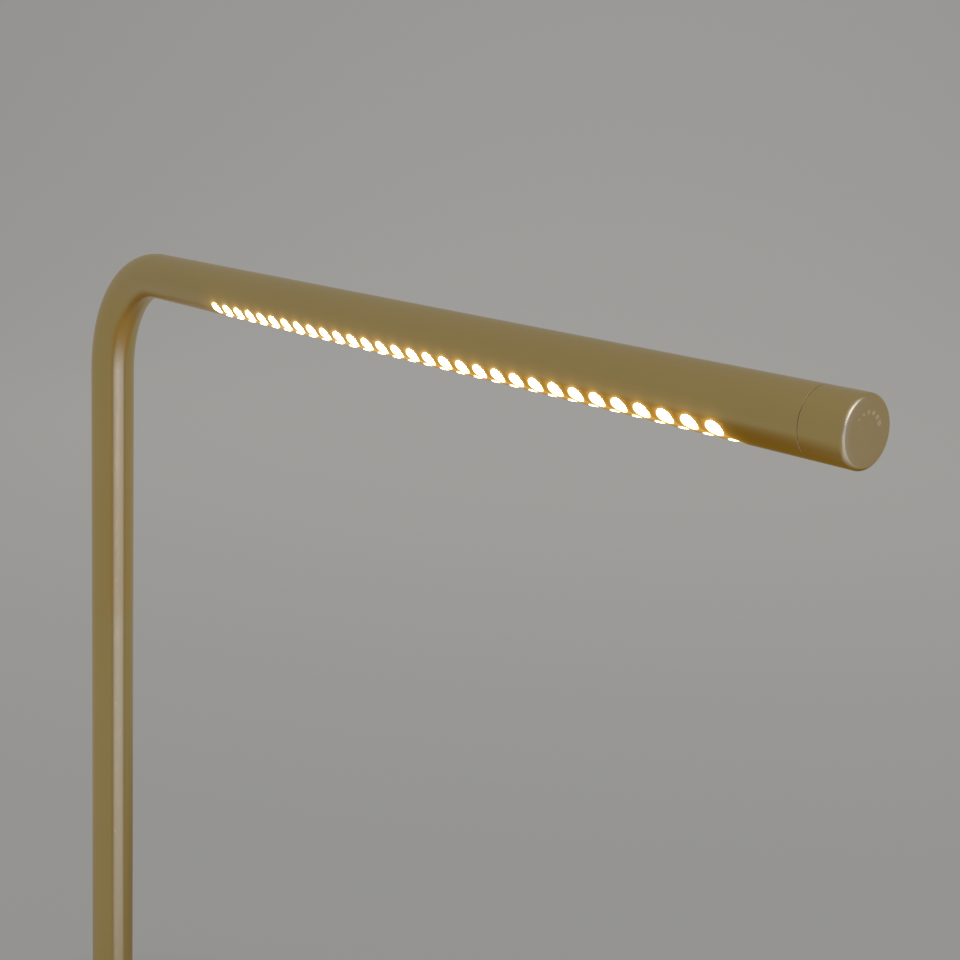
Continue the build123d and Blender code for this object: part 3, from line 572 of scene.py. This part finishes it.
def knobOutlines(back, front):
    # x and radius, from the face round to the bore, and then the middle of the face
    edge, breakSize = dimmerKnob["edgeRadius"], dimmerKnob["backBreak"]
    (lipReach, lipDepth), (recess, recessDepth) = dimmerKnob["lip"], dimmerKnob["recess"]
    bore, boreDepth = dimmerKnob["bore"]
    inner, outer = dimmerKnob["markBand"]
    side = [(front, outer)]
    side += quarter(front - edge, tubeRadius - edge, edge, 0, dimmerKnob["edgeSteps"])
    side += [
        (back + breakSize, tubeRadius),
        (back, tubeRadius - breakSize),
        (back, tubeRadius - lipDepth),
        (back - lipReach, tubeRadius - lipDepth),
        (back - lipReach, recess),
        (back + recessDepth, recess),
        (back + recessDepth, bore),
        (back + recessDepth + boreDepth, bore),
        (back + recessDepth + boreDepth, 0),
    ]
    return side, [(front, inner), (front, inner / 2), (front, 0)]


def mapKnob(mesh, front):
    mapped = []
    for face in mesh.polygons:
        if not face.material_index and face.center.x > front - dimmerKnob["faceDepth"]:
            face.material_index = 1
        first = None
        for corner in face.vertices:
            x, y, z = mesh.vertices[corner].co
            radius, turn = hypot(y, z - armHeight), atan2(y, z - armHeight)
            first = turn if first is None else first
            mapped += (x - radius, unwound(turn, first))
    mesh.uv_layers.new(name="UVMap").data.foreach_set("uv", mapped)


def makeKnob():
    back, front = [corner.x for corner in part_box("dimmer_knob")]
    steps = dimmerKnob["sectors"] * punch["long"]
    bm = bmesh.new()
    addMarks(bm, front)
    for outline in knobOutlines(back, front):
        points = [(x, 0, armHeight + radius) for x, radius in outline]
        spinProfile(bm, points, (0, 0, armHeight), (1, 0, 0), steps)
    mesh = finishPiece("dimmerKnob", bm, knobBrass, "dimmer", ["dimmer_knob"]).data
    mesh.materials.append(faceBrass)
    mesh.materials.append(etchedBrass)
    mapKnob(mesh, front)


makeKnob()


# foot pad

footPad = {"edgeRadius": 0.0005, "edgeSteps": 5, "sides": 144, "swell": 0.0001, "sharp": 50}


def makeFootPad():
    low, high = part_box("base_pad")
    edge, steps = footPad["edgeRadius"], footPad["edgeSteps"]
    rim = high.x - footPad["swell"]
    outline = [(0, low.z), (rim / 2, low.z)]
    outline += quarter(rim - edge, low.z + edge, edge, -90, steps)
    outline.append((high.x, (low.z + high.z) / 2))
    outline += quarter(rim - edge, high.z - edge, edge, 0, steps)
    outline += [(rim / 2, high.z), (0, high.z)]
    bm = bmesh.new()
    spinProfile(bm, [(radius, 0, z) for radius, z in outline], (0, 0, 0), (0, 0, 1), footPad["sides"])
    piece = finishPiece("footPad", bm, finishes["soft_pad"], "base", ["base_pad"],
                        footPad["sharp"])


makeFootPad()


# floor and backdrop

stage = {
    "floorRadius": 2.6,
    "floorRings": (0, 0.6, 1.4),
    "coveRadius": 0.9,
    "coveSteps": 16,
    "wallTop": 3.2,
    "sides": 96,
    "weld": 0.00001,  # points closer than this are one point
    "floorColor": (0.262, 0.266, 0.268, 1),
    "backColor": (0.332, 0.326, 0.312, 1),
    "roughness": 0.9,
    "specular": 0.1,
    "grain": (300, 0.0002),  # scale and depth
    "litFloor": (0.088, 0.17),  # the floor is plainly lit up to the first distance and even from the second
    # the brighter pool that the camera sees, and the shade that only the metal mirrors
    "pool": {"centre": (-1.45, 1.7, 0.3), "reach": (0.6, 2.4),
             "bright": (0.347, 0.342, 0.33, 1), "dim": (0.29, 0.287, 0.278, 1)},
    "shade": {"centre": (-0.12, 0.22, 0), "reach": (0.12, 0.42), "color": (0.235, 0.205, 0.15, 1)},
}
# the window's light on the floor, for the metal alone: angles in degrees about the post, distances from it
sheen = {
    "middle": 8,
    "half": 27,
    "edge": 7,
    "border": 16,  # width of the darker edge beside it
    "start": (0.13, 0.2),
    "rise": (0.3, 2.0),
    "near": (0.5, 0.57, 1.0, 1),
    "far": (0.64, 0.75, 1.4, 1),
    "beside": (0.255, 0.225, 0.165, 1),
}


def addToStage(name, bm, material, mirroredOnly=True):
    mesh = bpy.data.meshes.new(name)
    bm.to_mesh(mesh)
    bm.free()
    mesh.materials.append(material)
    thing = bpy.data.objects.new(name, mesh)
    if mirroredOnly:
        thing.visible_camera = thing.visible_diffuse = thing.visible_shadow = False
    scene.collection.objects.link(thing)


def seenByMetal(tree):
    rays = put(tree, "LightPath", {}).outputs
    both = calc(tree, "MAXIMUM", rays["Is Camera Ray"], rays["Is Glossy Ray"])
    return calc(tree, "MAXIMUM", both, rays["Is Transmission Ray"])


def fadeFrom(tree, place, spot):
    return ease(tree, vectorCalc(tree, "DISTANCE", place, spot["centre"]), *spot["reach"])


def sheenOn(tree, place, away, around):
    parts = put(tree, "SeparateXYZ", {0: place}).outputs
    middle, half, edge, border = [radians(sheen[key]) for key in ("middle", "half", "edge", "border")]
    turn = calc(tree, "ARCTAN2", parts["Y"], parts["X"])
    aside = calc(tree, "ABSOLUTE", calc(tree, "SUBTRACT", turn, middle))
    inside = ease(tree, aside, half + edge, half - edge)
    beside = ease(tree, aside, half + border, half + edge)
    begun = ease(tree, away, *sheen["start"])
    rise = spread(tree, away, 0.0, 1.0, *sheen["rise"])
    framed = mixColor(tree, calc(tree, "MULTIPLY", beside, begun), around, sheen["beside"])
    lit = mixColor(tree, rise, sheen["near"], sheen["far"])
    return mixColor(tree, calc(tree, "MULTIPLY", inside, begun), framed, lit)


def makeSweepPaint():
    material, tree, shader = newMaterial("sweepPaint")
    place = objectCoordinates(tree)
    scale, depth = stage["grain"]
    fill(tree, shader, {
        "Base Color": stage["floorColor"],
        "Roughness": stage["roughness"],
        "Specular IOR Level": stage["specular"],
        "Normal": bump(tree, noise(tree, place, scale), depth),
    })
    away = vectorCalc(tree, "LENGTH", place)
    rays = put(tree, "LightPath", {}).outputs
    seen = calc(tree, "MULTIPLY", ease(tree, away, *stage["litFloor"]), seenByMetal(tree))
    share = calc(tree, "MAXIMUM", seen, rays["Is Glossy Ray"])
    pool, shade = stage["pool"], stage["shade"]
    shaded = mixColor(tree, fadeFrom(tree, place, shade), shade["color"], stage["backColor"])
    mirrored = sheenOn(tree, place, away, shaded)
    looked = mixColor(tree, fadeFrom(tree, place, pool), pool["bright"], pool["dim"])
    tone = mixColor(tree, rays["Is Camera Ray"], mirrored, looked)
    even = put(tree, "Emission", {"Color": tone, "Strength": 1.0}).outputs[0]
    showMix(tree, share, shader.outputs[0], even)
    return material


def makeStage():
    radius, cove = stage["floorRadius"], stage["coveRadius"]
    outline = [(ring, 0) for ring in stage["floorRings"]]
    outline += quarter(radius, cove, cove, -90, stage["coveSteps"])
    outline.append((radius + cove, stage["wallTop"]))
    bm = bmesh.new()
    spinProfile(bm, [(ring, 0, z) for ring, z in outline], (0, 0, 0), (0, 0, 1), stage["sides"])
    bmesh.ops.remove_doubles(bm, verts=bm.verts, dist=stage["weld"])
    bmesh.ops.recalc_face_normals(bm, faces=bm.faces)
    for face in bm.faces:
        face.smooth = True
    addToStage("studioSweep", bm, makeSweepPaint(), mirroredOnly=False)


makeStage()
print("floor and backdrop done")


# softboxes

softboxes = {
    "sideWindow": {"azimuth": 10, "elevation": 38, "distance": 1.9, "side": 1.1, "watts": 21,
                   "color": (0.94, 0.98, 1.0)},
    "ceilingBox": {"azimuth": -5, "elevation": 62, "distance": 2.3, "side": 1.7, "watts": 20,
                   "color": (1, 1, 1)},
}
softboxAim = Vector((0, 0, 0.3))


def towards(azimuth, elevation):
    turn, lift = radians(azimuth), radians(elevation)
    return Vector((cos(lift) * cos(turn), cos(lift) * sin(turn), sin(lift)))


def addLamp(name, length, width, watts, color):
    light = bpy.data.lights.new(name, "AREA")
    light.shape = "RECTANGLE"
    light.size, light.size_y = length, width
    light.energy = watts
    light.color = color
    lamp = bpy.data.objects.new(name, light)
    lamp.visible_camera = lamp.visible_glossy = False
    scene.collection.objects.link(lamp)
    return lamp


def makeSoftbox(name):
    box = softboxes[name]
    lamp = addLamp(name, box["side"], box["side"], box["watts"], box["color"])
    away = towards(box["azimuth"], box["elevation"])
    lamp.location = softboxAim + away * box["distance"]
    lamp.rotation_euler = away.to_track_quat("Z", "Y").to_euler()


for name in softboxes:
    makeSoftbox(name)
print("softboxes done")


# what only the metal mirrors

# the tall window: a curved screen round the lamp
windowScreen = {
    "azimuth": (-20, 36),
    "radius": 2.0,
    "height": (0.005, 0.7),
    "steps": 24,
    "color": (0.36, 0.44, 1.0, 1),
    "strength": (2.0, 0.6),
    "fade": (0.1, 0.7),
}
# the bright pane that only the rim of the knob mirrors, placed as seen from the knob
rimPane = {
    "azimuth": 10,
    "elevation": 22,
    "distance": 0.4,
    "side": 0.26,
    "color": (0.38, 0.46, 1.0, 1),
    "strength": 4.0,
}
# amber discs that are seen only steeply from above: the lit air under the arm's end and under the bend
warmDiscs = {
    "warmUnderEnd": {"middle": (0.37, 0.105, 0.44), "size": (0.2, 0.185), "soft": (1.0, 0.7),
                     "color": (0.22, 0.147, 0.022, 1)},
    "warmUnderBend": {"middle": (0.11, 0.05, 0.3), "size": (0.13, 0.22), "soft": (1.0, 0.6),
                      "color": (0.34, 0.245, 0.07, 1)},
}
steepness = (0.62, 0.45)  # facing values at which a disc is clear and full
discSides = 48


def glowOnly(tree, shader, color, strength):
    fill(tree, shader, {"Base Color": (0, 0, 0, 1), "Specular IOR Level": 0,
                        "Emission Color": color, "Emission Strength": strength})


def makeWindowScreen():
    first, last = [radians(turn) for turn in windowScreen["azimuth"]]
    x, y = windowScreen["radius"] * cos(first), windowScreen["radius"] * sin(first)
    bm = bmesh.new()
    ends = [bm.verts.new((x, y, height)) for height in windowScreen["height"]]
    bmesh.ops.spin(bm, geom=[*ends, bm.edges.new(ends)], cent=(0, 0, 0), axis=(0, 0, 1), angle=last - first,
                   steps=windowScreen["steps"])
    material, tree, shader = newMaterial("windowGlow")
    height = put(tree, "SeparateXYZ", {0: objectCoordinates(tree)}).outputs["Z"]
    strength = ease(tree, height, *windowScreen["fade"], *windowScreen["strength"])
    glowOnly(tree, shader, windowScreen["color"], strength)
    addToStage("windowScreen", bm, material)


def makeRimPane():
    away = towards(rimPane["azimuth"], rimPane["elevation"])
    middle = Vector((tubeHigh.x, 0, armHeight)) + away * rimPane["distance"]
    turn = away.to_track_quat("Z", "Y").to_matrix().to_4x4()
    bm = bmesh.new()
    bmesh.ops.create_grid(bm, x_segments=1, y_segments=1, size=rimPane["side"] / 2,
                          matrix=Matrix.Translation(middle) @ turn)
    material, tree, shader = newMaterial("paneGlow")
    glowOnly(tree, shader, rimPane["color"], rimPane["strength"])
    addToStage("rimPane", bm, material)


def makeWarmDisc(name):
    disc = warmDiscs[name]
    size = (*disc["size"], 1)
    bm = bmesh.new()
    bmesh.ops.create_circle(bm, segments=discSides, radius=1, cap_ends=True,
                            matrix=Matrix.Translation(disc["middle"]) @ Matrix.Diagonal((*size, 1)))
    material, tree = newMaterial(name)[:2]
    offset = vectorCalc(tree, "SUBTRACT", objectCoordinates(tree), disc["middle"])
    fade = ease(tree, vectorCalc(tree, "LENGTH", vectorCalc(tree, "DIVIDE", offset, size)), *disc["soft"])
    below = put(tree, "NewGeometry", {}).outputs["Backfacing"]
    above = calc(tree, "SUBTRACT", fade, below, use_clamp=True)
    steep = ease(tree, put(tree, "LayerWeight", {"Blend": 0.5}).outputs["Facing"], *steepness)
    clear = put(tree, "BsdfTransparent", {}).outputs[0]
    amber = put(tree, "Emission", {"Color": disc["color"], "Strength": 1.0}).outputs[0]
    showMix(tree, calc(tree, "MULTIPLY", above, steep), clear, amber)
    addToStage(name, bm, material)


makeWindowScreen()
makeRimPane()
for name in warmDiscs:
    makeWarmDisc(name)
print("mirrored light done")


# the light that falls out of the holes, carried by the arm
holeLight = {
    "length": 0.31,
    "width": 0.012,
    "turn": 33,
    "watts": 1.2,
    "color": (1.0, 0.74, 0.42),
    "clear": 0.002,  # distance from the tube
}


def makeHoleLight():
    lamp = addLamp("holeLight", *[holeLight[key] for key in ("length", "width", "watts", "color")])
    turn = radians(holeLight["turn"])
    way = Vector((0, -sin(turn), -cos(turn)))
    middle = lampTube["firstHole"] + (lampTube["holeCount"] - 1) * lampTube["holePitch"] / 2
    side = Vector((1, 0, 0))
    lamp.matrix_world = Matrix((side, way.cross(side) * -1, -way)).transposed().to_4x4()
    lamp.location = Vector((middle, 0, armHeight)) + way * (tubeRadius + holeLight["clear"])
    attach(lamp, "swing_arm")


makeHoleLight()


# the room's own light, which is seen as the backdrop's colour
studioAir = {"color": (0.93, 0.96, 1, 1), "strength": 0.5}


def makeWorld():
    world = bpy.data.worlds.new("studioAir")
    world.use_nodes = True
    tree = world.node_tree
    air = tree.nodes["Background"]
    fill(tree, air, {"Color": studioAir["color"], "Strength": studioAir["strength"]})
    room = put(tree, "Background", {"Color": stage["backColor"], "Strength": 1.0})
    showMix(tree, seenByMetal(tree), air.outputs[0], room.outputs[0], "World Output")
    scene.world = world


makeWorld()
scene.view_settings.view_transform = "Standard"
print("lamps and world done")


# camera

view = {
    "place": (0.703462, -0.323263, 0.562968),
    "heading": 140.7168,
    "pitch": -9.7092,
    "roll": 2.5149,
    "lens": 53.684,
    "sensor": 36,
    "shift": -0.1,
}


def makeCamera():
    data = bpy.data.cameras.new("viewCamera")
    data.lens = view["lens"]
    data.sensor_width = view["sensor"]
    data.shift_y = view["shift"]
    camera = bpy.data.objects.new("viewCamera", data)
    ahead = towards(view["heading"], view["pitch"])
    heading, roll = radians(view["heading"]), radians(view["roll"])
    level = Vector((sin(heading), -cos(heading), 0))
    upright = level.cross(ahead)
    right = level * cos(roll) + upright * sin(roll)
    up = upright * cos(roll) - level * sin(roll)
    turned = Matrix((right, up, -ahead)).transposed().to_4x4()
    camera.matrix_world = Matrix.Translation(view["place"]) @ turned
    scene.collection.objects.link(camera)
    scene.camera = camera


makeCamera()
print("camera placed")
